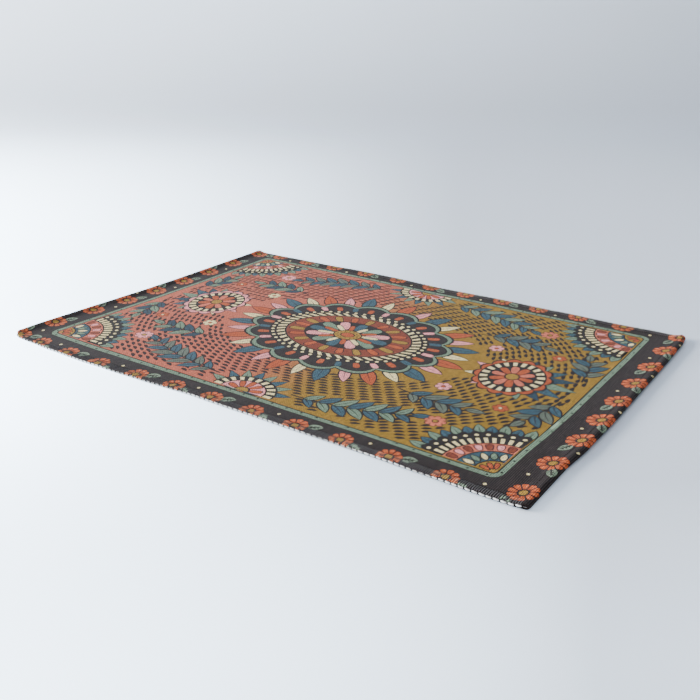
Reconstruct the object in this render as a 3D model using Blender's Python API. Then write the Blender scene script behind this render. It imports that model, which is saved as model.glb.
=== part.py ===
"""Small flat-woven rug with turned-under end hems and overlocked long edges.

Metres, +Z up. The long side runs along X and the short side along Y.
The rug lies on Z = 0. Lengths named MM are in millimetres.
"""
import bpy
import math

for leftover in list(bpy.data.objects):
    bpy.data.objects.remove(leftover, do_unlink=True)
for leftover in list(bpy.data.meshes):
    bpy.data.meshes.remove(leftover)
for leftover in list(bpy.data.materials):
    bpy.data.materials.remove(leftover)

# Driving dimensions
LENGTH_MM = 910.0
WIDTH_MM = 606.0
CLOTH_THICKNESS_MM = 3.0
EDGE_BAND_WIDTH_MM = 14.0
EDGE_BAND_RAISE_MM = 0.6
EDGE_ROUNDING_MM = 0.9
BODY_STATIONS = 26
HEM_ZONE_MM = 30.0
EDGE_WAVE_REACH_MM = 60.0
END_BOW_REACH_MM = 110.0
CORNER_REACH_MM = 34.0

HALF_LENGTH_MM = LENGTH_MM / 2
HALF_WIDTH_MM = WIDTH_MM / 2

# Rounding of the four corners
CORNER_RADIUS_MM = {
    ("left", "near"): 14.0,
    ("left", "far"): 9.0,
    ("right", "near"): 6.5,
    ("right", "far"): 9.0,
}

# How far each edge stands out from the plain rectangle.
# Columns: place along the edge from the rug's centre, outward distance.
NEAR_EDGE_OUT_MM = [
    (-455, 2.0), (-397, 5.5), (-347, 8.5), (-272, 10.5), (-222, 9.0), (-147, 4.5),
    (-72, 1.2), (3, 1.8), (103, 2.2), (178, -0.6), (253, -0.2), (328, 3.0), (403, 5.0), (455, 4.0),
]
FAR_EDGE_OUT_MM = [
    (-455, -3.5), (-397, -3.0), (-337, -0.8), (-247, 0.5), (-197, 2.6), (-97, 2.6), (3, -0.8),
    (63, 0.2), (128, 2.3), (203, 0.2), (263, 2.2), (353, -1.2), (403, 1.2), (455, -0.8),
]
LEFT_END_OUT_MM = [
    (-303, 2.5), (-255, 4.0), (-175, 2.5), (-95, -1.0), (-15, -3.6), (65, -5.0), (145, -5.0),
    (225, -3.6), (303, -2.5),
]
RIGHT_END_OUT_MM = [
    (-303, 0.0), (-215, 1.0), (-135, 4.6), (-55, 6.4), (65, 7.0), (185, 7.6), (265, 6.0), (303, 3.0),
]

# How far each edge stands off the floor.
# Columns: place along the edge from the rug's centre, height.
NEAR_EDGE_LIFT_MM = [
    (-455, 0.4), (-397, 1.0), (-322, 1.9), (-232, 1.8), (-152, 0.3), (-92, 0.3), (-37, 1.1),
    (93, 1.2), (163, 0.2), (263, 0.2), (323, 1.2), (403, 1.3), (455, 0.5),
]
FAR_EDGE_LIFT_MM = [
    (-455, 0.3), (-300, 0.4), (-150, 1.1), (20, 0.2), (140, 0.9), (290, 0.3), (390, 1.2), (455, 1.8),
]
LEFT_END_LIFT_MM = [(-303, 0.3), (-150, 0.9), (0, 0.3), (160, 0.8), (303, 0.3)]
RIGHT_END_LIFT_MM = [
    (-303, 0.4), (-220, 1.0), (-100, 2.0), (40, 2.4), (160, 2.2), (250, 2.6), (303, 2.2),
]
EDGE_LIFT_REACH_MM = 46.0
END_LIFT_REACH_MM = 70.0

# Section through an end hem, from the flat cloth round the fold to the cut edge
# beneath. Columns: show face in from the end, its height, back face in from the
# end, its height, share of the raised edge band that is left.
HEM_SECTION_MM = [
    (30.0, 3.00, 30.0, 0.00, 1.0),
    (22.0, 3.00, 22.3, 0.00, 1.0),
    (18.0, 3.05, 18.6, 0.12, 0.9),
    (15.2, 3.20, 15.8, 0.50, 0.7),
    (13.4, 4.10, 14.0, 1.55, 0.5),
    (11.6, 5.50, 12.1, 2.85, 0.3),
    (9.2, 6.20, 9.4, 3.40, 0.2),
    (6.8, 6.40, 6.8, 3.52, 0.1),
    (4.4, 6.10, 4.9, 3.48, 0.0),
    (2.2, 5.30, 3.9, 3.38, 0.0),
    (0.6, 4.10, 3.3, 3.22, 0.0),
    (0.0, 2.90, 3.2, 3.05, 0.0),
    (0.5, 1.50, 3.4, 2.88, 0.0),
    (2.0, 0.35, 4.2, 2.76, 0.0),
    (4.0, 0.00, 5.2, 2.70, 0.0),
    (7.0, 0.00, 7.2, 2.70, 0.0),
    (10.0, 0.00, 10.1, 2.66, 0.0),
    (11.4, 0.10, 11.2, 2.50, 0.0),
]

# Columns of points across one face, in from the edge
ACROSS_IN_MM = [0.0, 2.6, 6.0, 10.5, 14.0, 17.0, 30.0, 55.0, 100.0, 170.0, 240.0]


def ease(t):
    """Smooth step from 0 to 1."""
    t = min(1.0, max(0.0, t))
    return t * t * (3.0 - 2.0 * t)


def along(table, place):
    """Value of a table at a place, eased from row to row."""
    if place <= table[0][0]:
        return table[0][1]
    for (place_a, value_a), (place_b, value_b) in zip(table, table[1:]):
        if place <= place_b:
            share = ease((place - place_a) / (place_b - place_a))
            return value_a + (value_b - value_a) * share
    return table[-1][1]


def corner_inset(x, y):
    """How far the long edge is drawn in at x by the rounding of its corner."""
    end = "left" if x < 0 else "right"
    side = "near" if y < 0 else "far"
    radius = CORNER_RADIUS_MM[end, side]
    from_end = HALF_LENGTH_MM - abs(x)
    if from_end >= radius:
        return 0.0
    return radius - math.sqrt(max(0.0, radius ** 2 - (radius - from_end) ** 2))


def settle(x, y, z):
    """Move a point of the plain folded rectangle to where the cloth really lies."""
    near_or_far = NEAR_EDGE_OUT_MM if y < 0 else FAR_EDGE_OUT_MM
    left_or_right = LEFT_END_OUT_MM if x < 0 else RIGHT_END_OUT_MM
    near_or_far_lift = NEAR_EDGE_LIFT_MM if y < 0 else FAR_EDGE_LIFT_MM
    left_or_right_lift = LEFT_END_LIFT_MM if x < 0 else RIGHT_END_LIFT_MM
    from_edge = HALF_WIDTH_MM - abs(y)
    from_end = HALF_LENGTH_MM - abs(x)
    edge_share = ease(1.0 - from_edge / EDGE_WAVE_REACH_MM)
    end_share = ease(1.0 - (from_end - HEM_ZONE_MM) / END_BOW_REACH_MM)
    corner_share = ease(1.0 - from_edge / CORNER_REACH_MM)
    out_y = along(near_or_far, x) * edge_share - corner_inset(x, y) * corner_share
    out_x = along(left_or_right, y) * end_share
    rise_edge = along(near_or_far_lift, x) * ease(1.0 - from_edge / EDGE_LIFT_REACH_MM)
    rise_end = along(left_or_right_lift, y) * ease(1.0 - from_end / END_LIFT_REACH_MM)
    new_x = x - out_x if x < 0 else x + out_x
    new_y = y - out_y if y < 0 else y + out_y
    return (new_x / 1000, new_y / 1000, (z + max(rise_edge, rise_end)) / 1000)


def stations():
    """Section stations from one cut hem edge along the show face to the other."""
    left = []
    for show_in, show_z, back_in, back_z, band in reversed(HEM_SECTION_MM):
        left.append((show_in - HALF_LENGTH_MM, show_z, back_in - HALF_LENGTH_MM, back_z, band))
    right = []
    for show_in, show_z, back_in, back_z, band in HEM_SECTION_MM:
        right.append((HALF_LENGTH_MM - show_in, show_z, HALF_LENGTH_MM - back_in, back_z, band))
    middle = []
    start = HEM_ZONE_MM - HALF_LENGTH_MM
    step = -2 * start / BODY_STATIONS
    for index in range(1, BODY_STATIONS):
        x = start + step * index
        middle.append((x, CLOTH_THICKNESS_MM, x, 0.0, 1.0))
    return left + middle + right


def across_places():
    """Places across one face, from the near edge to the far edge."""
    near = [EDGE_ROUNDING_MM + inset - HALF_WIDTH_MM for inset in ACROSS_IN_MM]
    return near + [0.0] + [-y for y in reversed(near)]


def band_raise(y):
    """Extra height of the overlocked band along a long edge."""
    from_edge = HALF_WIDTH_MM - abs(y)
    fall = ease((from_edge - EDGE_BAND_WIDTH_MM + 3.5) / 5.0)
    return EDGE_BAND_RAISE_MM * (1.0 - fall)


def ring_of_points(station):
    """Closed ring round the cloth at one station."""
    show_x, show_z, back_x, back_z, band = station
    places = across_places()
    ring = []
    for y in places:
        ring.append(settle(show_x, y, show_z + band_raise(y) * band))
    show_edge_z = show_z + EDGE_BAND_RAISE_MM * band
    sides = []
    for share in (0.3, 0.7):
        x = show_x + (back_x - show_x) * share
        z = show_edge_z + (back_z - show_edge_z) * share
        sides.append((x, z))
    for x, z in sides:
        ring.append(settle(x, HALF_WIDTH_MM, z))
    for y in reversed(places):
        ring.append(settle(back_x, y, back_z))
    for x, z in reversed(sides):
        ring.append(settle(x, -HALF_WIDTH_MM, z))
    return ring


def centred(points):
    """Points moved so that the origin is under the middle of the outline."""
    middle_x = (min(p[0] for p in points) + max(p[0] for p in points)) / 2
    middle_y = (min(p[1] for p in points) + max(p[1] for p in points)) / 2
    return [(x - middle_x, y - middle_y, z) for x, y, z in points]


def build_cloth():
    """One closed body: rings along the cloth with a cap on each cut edge."""
    rings = [ring_of_points(station) for station in stations()]
    count = len(rings[0])
    face_columns = len(across_places())
    points = centred([point for ring in rings for point in ring])
    faces = []
    for row in range(len(rings) - 1):
        a = row * count
        b = a + count
        for index in range(count):
            after = (index + 1) % count
            faces.append((a + index, b + index, b + after, a + after))
    for base, turned in ((0, False), ((len(rings) - 1) * count, True)):
        cap = []
        for index in range(face_columns - 1):
            opposite = 2 * face_columns + 1 - index
            cap.append((index, index + 1, opposite - 1, opposite))
        right = face_columns - 1
        cap.append((right, right + 1, right + 2, right + 3))
        cap.append((0, 2 * face_columns + 1, 2 * face_columns + 2, 2 * face_columns + 3))
        for quad in cap:
            ordered = tuple(reversed(quad)) if turned else quad
            faces.append(tuple(base + corner for corner in ordered))
    mesh = bpy.data.meshes.new("rug_cloth")
    mesh.from_pydata(points, [], faces)
    mesh.update()
    cloth = bpy.data.objects.new("rug_cloth", mesh)
    bpy.context.scene.collection.objects.link(cloth)
    return cloth


def woven_cloth_material():
    """Plain charcoal polyester weave."""
    material = bpy.data.materials.new("woven_polyester")
    material.use_nodes = True
    shader = material.node_tree.nodes["Principled BSDF"]
    shader.inputs["Base Color"].default_value = (0.045, 0.038, 0.042, 1.0)
    shader.inputs["Roughness"].default_value = 0.9
    return material


rug_cloth = build_cloth()
rug_cloth.data.materials.append(woven_cloth_material())
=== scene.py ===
"""Flat-woven rug with a printed face, folded end hems and overlocked long edges.

Lengths in the tables and in the print are millimetres on the cloth; meshes are in metres.
"""
import math
import random
import bpy
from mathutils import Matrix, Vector
from mathutils.bvhtree import BVHTree
from mathutils.geometry import delaunay_2d_cdt


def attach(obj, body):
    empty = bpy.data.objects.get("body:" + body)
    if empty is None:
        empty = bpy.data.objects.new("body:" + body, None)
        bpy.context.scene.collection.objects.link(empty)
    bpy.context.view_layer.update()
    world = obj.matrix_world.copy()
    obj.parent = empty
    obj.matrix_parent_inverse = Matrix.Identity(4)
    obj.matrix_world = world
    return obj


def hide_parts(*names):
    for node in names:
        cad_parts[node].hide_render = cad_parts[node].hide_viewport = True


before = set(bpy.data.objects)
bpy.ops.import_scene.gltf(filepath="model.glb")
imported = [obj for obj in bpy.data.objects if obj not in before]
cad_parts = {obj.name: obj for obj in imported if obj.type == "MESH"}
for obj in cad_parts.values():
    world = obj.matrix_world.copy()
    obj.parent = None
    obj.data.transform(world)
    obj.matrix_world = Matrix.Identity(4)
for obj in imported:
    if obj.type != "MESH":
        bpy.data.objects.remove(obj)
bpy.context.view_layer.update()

TAU = 2 * math.pi

# The cloth as it lies
LENGTH = 910.0
WIDTH = 606.0
THICKNESS = 3.0
EDGE_ROUNDING = 0.9
BAND_WIDTH = 14.5
BAND_FADE = 3.0
FACE_SQUEEZE = 0.15
BACK_SQUEEZE = 0.55
HEM_ZONE = 30.0
HEM_CREST_ROW = 7
EDGE_WAVE_REACH = 60.0
END_BOW_REACH = 110.0
CORNER_REACH = 44.0
EDGE_LIFT_REACH = 46.0
END_LIFT_REACH = 70.0
MIDDLE_X = 1.7265
MIDDLE_Y = -3.8652
HALF_LENGTH = LENGTH / 2
HALF_WIDTH = WIDTH / 2

CORNER_RADIUS = {
    ("left", "near"): 24.0,
    ("left", "far"): 9.0,
    ("right", "near"): 6.5,
    ("right", "far"): 9.0,
}

# Columns: place along the edge from the rug's centre, distance the edge stands out
NEAR_EDGE_OUT = [
    (-455, 4.5), (-397, 7.0), (-347, 11.0), (-272, 12.6), (-222, 11.0), (-147, 6.4),
    (-72, 2.8), (3, 3.8), (103, 3.6), (178, 1.0), (253, 1.4), (328, 4.2), (403, 6.2), (455, 4.4),
]
FAR_EDGE_OUT = [
    (-455, -1.8), (-397, -1.6), (-337, 0.0), (-247, 1.2), (-197, 3.8), (-97, 3.8), (3, 0.6),
    (63, 1.8), (128, 3.0), (203, 1.6), (263, 3.2), (353, 0.0), (403, 1.8), (455, -0.8),
]
LEFT_END_OUT = [
    (-303, 0.8), (-255, 1.6), (-175, -0.8), (-95, -4.0), (-15, -6.2), (65, -7.4), (145, -7.2),
    (225, -6.0), (303, -4.5),
]
RIGHT_END_OUT = [
    (-303, 0.0), (-215, 0.6), (-135, 5.6), (-55, 7.4), (65, 7.2), (185, 7.2), (265, 6.2), (303, 3.6),
]

# Columns: place along the edge from the rug's centre, height of the edge off the floor
NEAR_EDGE_LIFT = [
    (-455, 1.3), (-397, 1.2), (-322, 1.9), (-232, 1.8), (-152, 0.3), (-92, 0.3), (-37, 1.1),
    (93, 1.2), (163, 0.2), (263, 0.2), (323, 1.2), (403, 1.3), (455, 0.5),
]
FAR_EDGE_LIFT = [
    (-455, 0.6), (-300, 0.8), (-150, 1.7), (20, 0.9), (140, 1.6), (290, 0.9), (390, 1.5), (455, 1.8),
]
LEFT_END_LIFT = [(-303, 1.2), (-150, 0.9), (0, 0.3), (160, 0.8), (303, 0.3)]
RIGHT_END_LIFT = [
    (-303, 0.4), (-220, 1.0), (-100, 2.0), (40, 2.4), (160, 2.2), (250, 2.6), (303, 2.2),
]

# Columns: printed face in from the end, its height, back in from the end, its height
HEM_SECTION = [
    (30.0, 3.00, 30.0, 0.00),
    (24.0, 3.12, 24.3, 0.00),
    (19.6, 3.60, 19.2, 0.10),
    (16.2, 4.20, 16.0, 0.50),
    (13.6, 4.74, 14.0, 1.55),
    (11.6, 5.40, 12.1, 2.85),
    (9.2, 6.08, 9.4, 3.40),
    (6.8, 6.40, 6.8, 3.52),
    (4.4, 6.10, 4.9, 3.48),
    (2.2, 5.30, 3.9, 3.38),
    (0.6, 4.10, 3.3, 3.22),
    (0.0, 2.90, 3.2, 3.05),
    (0.5, 1.50, 3.4, 2.88),
    (2.0, 0.35, 4.2, 2.76),
    (4.0, 0.00, 5.2, 2.70),
    (7.0, 0.00, 7.2, 2.70),
    (10.0, 0.00, 10.1, 2.66),
    (11.4, 0.10, 11.2, 2.50),
]

# Columns: start and end along the near edge where the pale edge thread faces outward
PALE_STRETCHES = [(-372, -212), (-60, 150), (228, 300), (335, 452)]

# Columns: place along a side of the print, how far its even place is missed there
PRINT_DRIFT = {
    "near": [(-455, -0.5), (-375, -1.3), (-275, -1.6), (-200, -2.4), (-125, 0.6), (-25, 0.2), (75, 0.8),
             (175, 1.6), (225, 1.7), (325, -0.4), (455, -0.8)],
    "far": [(-455, 1.2), (-325, 0.4), (-225, -0.2), (-25, 1.8), (25, -1.0), (175, 0.0), (325, -1.6),
            (455, -1.6)],
    "left": [(-303, -1.6), (-235, -2.6), (-185, -3.4), (-135, -0.4), (-85, 2.2), (-35, 3.2), (15, 1.9),
             (115, 0.2), (215, -1.6), (303, -1.6)],
    "right": [(-303, -3.0), (-235, -3.0), (-185, -2.0), (-120, 1.4), (-35, 0.2), (65, 0.0), (165, 1.0),
              (303, 1.6)],
}

# Distances from the rug's centre line where that drift starts and where it is full
END_DRIFT_RAMP = (130, 360)
EDGE_DRIFT_RAMP = (90, 240)

# Lengths along the rug between which the ground turns from salmon to ochre
GROUND_TURN = (-75, 85)

# Columns: share of the way from face to back, distance the side stands out
SIDE_ROUNDING = [(0.10, 0.60), (0.34, 0.90), (0.66, 0.90), (0.90, 0.60)]

# The side's dark upper rows, its height in a row, and the length in from the fold where it is all dark
SIDE_DARK_ROWS = 2
SIDE_ROW_HEIGHT = 0.7
HEM_DARK_IN = 8

# The thread work along the edges and hems
PALE_FADE = 34
OVERLOCK_END_GAP = 8.5
NEEDLE_IN = 13.5
RIB_PITCH = 2.9
DASH_PITCH = 8.7
HEM_STITCH_IN = 14.4
HEM_STITCH_GAP = 8
HEM_STITCH_PITCH = 4.3

# Half widths across and half heights up along each kind of thread, in metres
RIB_ACROSS = [0.0006, 0.00094, 0.00100, 0.00100, 0.00094, 0.0009, 0.0006]
RIB_UP = [0.0003, 0.00074, 0.00086, 0.00086, 0.00076, 0.00056, 0.0003]
DASH_ACROSS = [0.0004, 0.0009, 0.0010, 0.0010, 0.0010, 0.0009, 0.0004]
DASH_UP = [0.0006, 0.00096, 0.00108, 0.00110, 0.00108, 0.00096, 0.0006]
STITCH_ACROSS = [0.0003, 0.00045, 0.0005, 0.00045, 0.0003]
STITCH_UP = [0.00025, 0.0004, 0.00042, 0.0004, 0.00025]

# Border: flower places along each side, then the corner flowers and the stripe's corners
NEAR_ROW = [439.5, 351.5, 271.5, 198.5, 127, 54, -19.5, -91.5, -164, -240.5, -311.5, -381.5, -433]
FAR_ROW = [444.5, 354, 277, 205, 135, 61.5, -13, -87.5, -164, -238.5, -307.5, -381, -433]
RIGHT_ROW = [-277, -201.5, -131, -63.5, 4, 75.5, 147.5, 224.5, 292]
LEFT_ROW = [284, 200, 127.5, 56, -16, -85.5, -156, -232.5, -299]
CORNER_FLOWERS = [(439.5, -277.5), (-434.5, -298.5), (-434.5, 285.0), (444.5, 291.0)]
STRIPE = (-406.2, -267.6, 403.4, 275.2)
STRIPE_WIDTH = 7.0
STRIPE_LINE = 2.0
STRIPE_DOT = 1.85
BORDER_PETALS = 10
PETAL_GAP = 1.9

# Columns: share of the way out along a border petal, its fullness there
WEDGE_SHAPE = [(0.0, 1.0), (0.45, 1.0), (0.72, 0.99), (0.86, 0.86), (0.95, 0.60), (1.0, 0.26)]

# Field inside the stripe
FIELD_X = (STRIPE[0] + STRIPE[2]) / 2
FIELD_Y = (STRIPE[1] + STRIPE[3]) / 2
FIELD_HALF_X = (STRIPE[2] - STRIPE[0]) / 2 - 10.0
FIELD_HALF_Y = (STRIPE[3] - STRIPE[1]) / 2 - 10.0
LOBE_POINTS = 7
SPRAY_LEAF_WIDTH = 13.0
SPRAY_LINE = 2.4
FILLING_REACH = (160.0, 470)
FILLING_PITCH = 18.0
FILLING_ROW_PITCH = 8.4

# Rows of the mesh in one tile of the print, and the parts of the flat picture of the cloth
TILE_ROWS_A = 11
TILE_ROWS_B = 10
BAKE_EDGE = 0.002
BAKE_SPAN = 0.996
BAKE_BACK_FOOT = 0.655
BAKE_BACK_SPAN = 0.5
BAKE_SIDE_FOOT = 0.978
BAKE_SIDE_SPAN = 0.018

# Camera: its place, heading on the floor and pitch, and its distance back from the rug's middle
AHEAD_X = -0.5721
AHEAD_Y = 0.8204
AHEAD = Vector((AHEAD_X, AHEAD_Y, 0.0))
RIGHTWARD = Vector((AHEAD_Y, -AHEAD_X, 0.0))
CAMERA_AT = Vector((0.740, -1.051, 0.507))
CAMERA_BACK = 1.286
CAMERA_PITCH = math.radians(22.31)

# Output of the coordinate node that gives the place on the object
OBJECT_PLACE = 3


def ease(t):
    """Smooth step from 0 to 1."""
    t = min(1.0, max(0.0, t))
    return t * t * (3.0 - 2.0 * t)


def ramp(value, start, end):
    """Smooth step from 0 at the start to 1 at the end."""
    return ease((value - start) / (end - start))


def along(table, place):
    """Value of a two-column table at a place, eased from row to row."""
    if place <= table[0][0]:
        return table[0][1]
    for (place_a, value_a), (place_b, value_b) in zip(table, table[1:]):
        if place <= place_b:
            return value_a + (value_b - value_a) * ease((place - place_a) / (place_b - place_a))
    return table[-1][1]


def corner_inset(x, y):
    """How far a long edge is drawn in at x by the rounding of its corner."""
    radius = CORNER_RADIUS["left" if x < 0 else "right", "near" if y < 0 else "far"]
    from_end = HALF_LENGTH - abs(x)
    if from_end >= radius:
        return 0.0
    return radius - math.sqrt(max(0.0, radius ** 2 - (radius - from_end) ** 2))


def settle(x, y, z):
    """Where a point of the plain folded rectangle lies, in metres."""
    from_edge = HALF_WIDTH - abs(y)
    from_end = HALF_LENGTH - abs(x)
    out_x = out_y = rise_edge = rise_end = 0.0
    if from_edge < EDGE_WAVE_REACH:
        share = ease(1.0 - from_edge / EDGE_WAVE_REACH)
        out_y = along(NEAR_EDGE_OUT if y < 0 else FAR_EDGE_OUT, x) * share
        out_y -= corner_inset(x, y) * ease(1.0 - from_edge / CORNER_REACH)
    if from_end < HEM_ZONE + END_BOW_REACH:
        share = ease(1.0 - (from_end - HEM_ZONE) / END_BOW_REACH)
        out_x = along(LEFT_END_OUT if x < 0 else RIGHT_END_OUT, y) * share
    if from_edge < EDGE_LIFT_REACH:
        share = ease(1.0 - from_edge / EDGE_LIFT_REACH)
        rise_edge = along(NEAR_EDGE_LIFT if y < 0 else FAR_EDGE_LIFT, x) * share
    if from_end < END_LIFT_REACH:
        share = ease(1.0 - from_end / END_LIFT_REACH)
        rise_end = along(LEFT_END_LIFT if x < 0 else RIGHT_END_LIFT, y) * share
    new_x = (x - out_x if x < 0 else x + out_x) - MIDDLE_X
    new_y = (y - out_y if y < 0 else y + out_y) - MIDDLE_Y
    return Vector((new_x / 1000, new_y / 1000, (z + max(rise_edge, rise_end)) / 1000))


def smooth_rows(rows, parts):
    """Rows of numbers with points between them on one smooth curve."""
    finer = []
    for index in range(len(rows) - 1):
        before = rows[max(0, index - 1)]
        start = rows[index]
        end = rows[index + 1]
        after = rows[min(len(rows) - 1, index + 2)]
        for part in range(parts):
            t = part / parts
            row = []
            for p, a, b, n in zip(before, start, end, after):
                pull_a = (b - p) / 2
                pull_b = (n - a) / 2
                cube = (2 * a - 2 * b + pull_a + pull_b) * t ** 3
                square = (3 * b - 3 * a - 2 * pull_a - pull_b) * t ** 2
                row.append(cube + square + pull_a * t + a)
            finer.append(tuple(row))
    finer.append(rows[-1])
    return finer


def hem_rows():
    """The hem section with the length run along the printed face as first column."""
    rows = []
    run = 0.0
    last = None
    for row in smooth_rows(HEM_SECTION, 3):
        if last:
            run += math.hypot(row[0] - last[0], row[1] - last[1])
        rows.append((run,) + row)
        last = row
    return rows


HEM_ROWS = hem_rows()
FLAT_START = HALF_LENGTH - HEM_ZONE
HALF_CLOTH = FLAT_START + HEM_ROWS[-1][0]


def section(a):
    """Printed face and back at length a along the cloth: x, z and x, z."""
    if abs(a) <= FLAT_START:
        return (a, THICKNESS, a, 0.0)
    run = abs(a) - FLAT_START
    side = 1 if a > 0 else -1
    for low, high in zip(HEM_ROWS, HEM_ROWS[1:]):
        if run <= high[0] + 1e-6:
            break
    share = min(1.0, (run - low[0]) / (high[0] - low[0]))
    face_in, face_z, back_in, back_z = [p + (q - p) * share for p, q in zip(low[1:], high[1:])]
    return (side * (HALF_LENGTH - face_in), face_z, side * (HALF_LENGTH - back_in), back_z)


def edge_squeeze(b):
    """Share by which the overlock squeezes the cloth at width b."""
    return ease((BAND_WIDTH - (HALF_WIDTH - abs(b))) / BAND_FADE)


def dye(red, green, blue):
    """Opaque colour from the shares of red, green and blue light a dye gives back."""
    return (red, green, blue, 1.0)


CHARCOAL = dye(0.0172, 0.0100, 0.0098)
INK = dye(0.0108, 0.0066, 0.0070)
ORANGE = dye(0.480, 0.083, 0.0205)
DEEP_ORANGE = dye(0.225, 0.040, 0.0170)
CORAL = dye(0.680, 0.155, 0.083)
SALMON_GROUND = dye(0.535, 0.125, 0.0660)
OCHRE_GROUND = dye(0.315, 0.169, 0.0105)
GOLD = dye(0.380, 0.205, 0.019)
PETAL = dye(0.600, 0.106, 0.0225)
PETAL_LIGHT = dye(0.780, 0.190, 0.078)
CREAM = dye(0.950, 0.780, 0.370)
PINK = dye(0.930, 0.330, 0.330)
TEAL = dye(0.0345, 0.087, 0.118)
DEEP_TEAL = dye(0.0200, 0.050, 0.077)
SAGE = dye(0.162, 0.245, 0.155)
BORDER_LEAF = dye(0.205, 0.275, 0.180)
GREY_LEAF = dye(0.112, 0.138, 0.102)
WHITE_YARN = dye(0.940, 0.930, 0.910)
GROUND = "ground"


def ground_dye(a):
    """Salmon at the left end that turns to ochre at the right end."""
    share = ramp(a, *GROUND_TURN)
    return tuple(p + (q - p) * share for p, q in zip(SALMON_GROUND, OCHRE_GROUND))


def drifted(x, y):
    """Where a place of the even drawing was really printed."""
    x_drift = along(PRINT_DRIFT["left" if x < 0 else "right"], y) * ramp(abs(x), *END_DRIFT_RAMP)
    y_drift = along(PRINT_DRIFT["near" if y < 0 else "far"], x) * ramp(abs(y), *EDGE_DRIFT_RAMP)
    return (x + x_drift, y + y_drift)


class ClothPrint:
    """Shapes printed on the cloth, each over the ones before it."""

    def __init__(self):
        self.shapes = []
        self.taken = []

    def lay(self, outline, colour, even=False):
        """Adds a shape, moved by the drift of the print unless it is an even one."""
        if not even:
            outline = [drifted(x, y) for x, y in outline]
        turned = 0.0
        for (x0, y0), (x1, y1) in zip(outline, outline[1:] + outline[:1]):
            turned += x0 * y1 - x1 * y0
        self.shapes.append((outline if turned > 0 else outline[::-1], colour))

    def take(self, x, y, radius):
        """Keeps the filling out of a circle."""
        self.taken.append((x, y, radius))

    def free(self, x, y, radius):
        """True where a circle touches none of those that are taken."""
        for other_x, other_y, other_radius in self.taken:
            if math.hypot(x - other_x, y - other_y) < radius + other_radius:
                return False
        return True


PRINT = ClothPrint()


def polar(x, y, radius, angle):
    """Point at a distance and angle from another."""
    return (x + radius * math.cos(angle), y + radius * math.sin(angle))


def on_oval(x, y, radius_x, radius_y, angle):
    """Point of an oval round another point."""
    return (x + radius_x * math.cos(angle), y + radius_y * math.sin(angle))


def beside(x, y, angle, ahead, aside):
    """Point a distance ahead of another and a distance to its left."""
    return (x + ahead * math.cos(angle) - aside * math.sin(angle),
            y + ahead * math.sin(angle) + aside * math.cos(angle))


def fan(start, spread, count):
    """Angles in the middle of each of an even fan's parts."""
    return [start + spread * (index + 0.5) / count for index in range(count)]


def lay_oval(x, y, radius_x, radius_y, points, colour):
    """Filled oval."""
    PRINT.lay([on_oval(x, y, radius_x, radius_y, TAU * index / points) for index in range(points)], colour)


def lay_dot(x, y, radius, points, colour):
    """Filled circle."""
    lay_oval(x, y, radius, radius, points, colour)


def rounded_box(x0, y0, x1, y1, radius, steps=5):
    """Outline of a box with rounded corners."""
    outline = []
    corners = [(x1 - radius, y1 - radius), (x0 + radius, y1 - radius), (x0 + radius, y0 + radius),
               (x1 - radius, y0 + radius)]
    for quarter, (x, y) in enumerate(corners):
        for step in range(steps + 1):
            outline.append(polar(x, y, radius, (quarter + step / steps) * TAU / 4))
    return outline


def lobed_oval(x, y, radius_x, radius_y, lobes, depth):
    """Outline of an oval with rounded lobes that meet in points."""
    outline = []
    count = lobes * LOBE_POINTS
    for index in range(count):
        t = TAU * index / count
        reach = 1 - depth + depth * abs(math.sin(lobes * t / 2)) ** 0.8
        outline.append(on_oval(x, y, radius_x * reach, radius_y * reach, t))
    return outline


def both_sides(spine, pointed=False):
    """Outline round a spine, whose points have a heading and a half width."""
    left = [(x - half * math.sin(heading), y + half * math.cos(heading)) for x, y, heading, half in spine]
    right = [(x + half * math.sin(heading), y - half * math.cos(heading)) for x, y, heading, half in spine]
    if pointed:
        right = right[1:-1]
    return left + right[::-1]


def leaf_outline(x, y, angle, length, width, bend=0.0, steps=6, start=0.0):
    """Outline of a pointed leaf that grows from a point."""
    spine = []
    for index in range(steps + 1):
        t = index / steps
        px, py = beside(x, y, angle, start + (length - start) * t, bend * math.sin(math.pi * t))
        half = width / 2 * math.sin(math.pi * t ** 0.85) ** 0.8 if 0 < t < 1 else 0.0
        spine.append((px, py, angle + bend / length * math.pi * math.cos(math.pi * t), half))
    return both_sides(spine, pointed=True)


def petal_outline(x, y, angle, inner, outer, width, steps=6):
    """Outline of a petal with a round tip and a narrower foot."""
    spine = []
    for index in range(steps + 1):
        t = index / steps
        reach = inner + (outer - inner) * (1 - math.cos(math.pi * t)) / 2
        share = (reach - inner) / (outer - inner)
        half = width / 2 * math.sqrt(max(0.0, 1 - (2 * share - 1) ** 4)) * (0.62 + 0.38 * share)
        spine.append(polar(x, y, reach, angle) + (angle, half))
    return both_sides(spine, pointed=True)


def wedge_petal(x, y, angle, inner, outer):
    """Outline of a border petal, which fills its share of the ring up to a rounded tip."""
    spread = math.tan(math.pi / BORDER_PETALS)
    spine = []
    for share, fullness in WEDGE_SHAPE:
        reach = inner + (outer - inner) * share
        half = max(0.3, reach * spread - PETAL_GAP / 2) * fullness
        spine.append(polar(x, y, reach, angle) + (angle, half))
    return both_sides(spine)


def lay_stroke(path, start_width, end_width, colour):
    """Line that changes evenly from one width to another."""
    spine = []
    for index, (x, y) in enumerate(path):
        before = path[max(0, index - 1)]
        after = path[min(len(path) - 1, index + 1)]
        heading = math.atan2(after[1] - before[1], after[0] - before[0])
        half = (start_width + (end_width - start_width) * index / (len(path) - 1)) / 2
        spine.append((x, y, heading, half))
    PRINT.lay(both_sides(spine), colour)


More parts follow.
